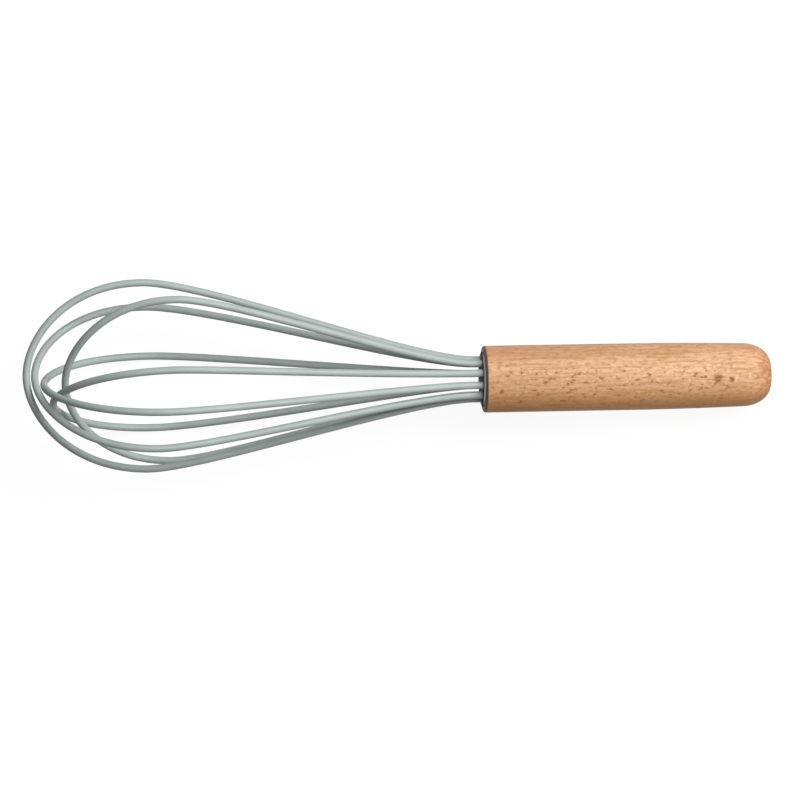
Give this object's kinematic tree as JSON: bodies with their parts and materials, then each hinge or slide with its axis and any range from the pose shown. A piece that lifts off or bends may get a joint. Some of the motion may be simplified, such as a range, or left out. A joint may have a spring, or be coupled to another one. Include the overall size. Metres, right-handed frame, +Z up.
{
  "type": "balloon whisk",
  "caption": "Balloon whisk with silicone-covered wire loops, a steel mouth cap and a round turned beech handle, lying at rest.",
  "frame": {"origin": "under the middle of the whole whisk, on the surface that it lies on", "axes": "+Z up from the table, +X along the whisk towards the butt of the handle and level with the table, +Y to the left of +X seen from above. The whisk's own axis lies in the XZ plane's direction and rises 5.8 degrees towards the balloon, as it does when the whisk lies on two loops and the butt."},
  "size_m": [0.2618, 0.0678, 0.064],
  "materials": {
    "beech": "oiled",
    "cap_steel": "polished",
    "resin": "cast",
    "wire_steel": "drawn",
    "sage_silicone": "satin"
  },
  "bodies": {
    "root": {"handle": "beech", "mouth_cap": "cap_steel", "resin_fill": "resin", "loop_1_core": "wire_steel", "loop_2_core": "wire_steel", "loop_3_core": "wire_steel", "loop_4_core": "wire_steel", "loop_5_core": "wire_steel", "loop_1_sleeve": "sage_silicone", "loop_2_sleeve": "sage_silicone", "loop_3_sleeve": "sage_silicone", "loop_4_sleeve": "sage_silicone", "loop_5_sleeve": "sage_silicone"}
  },
  "joints": []
}
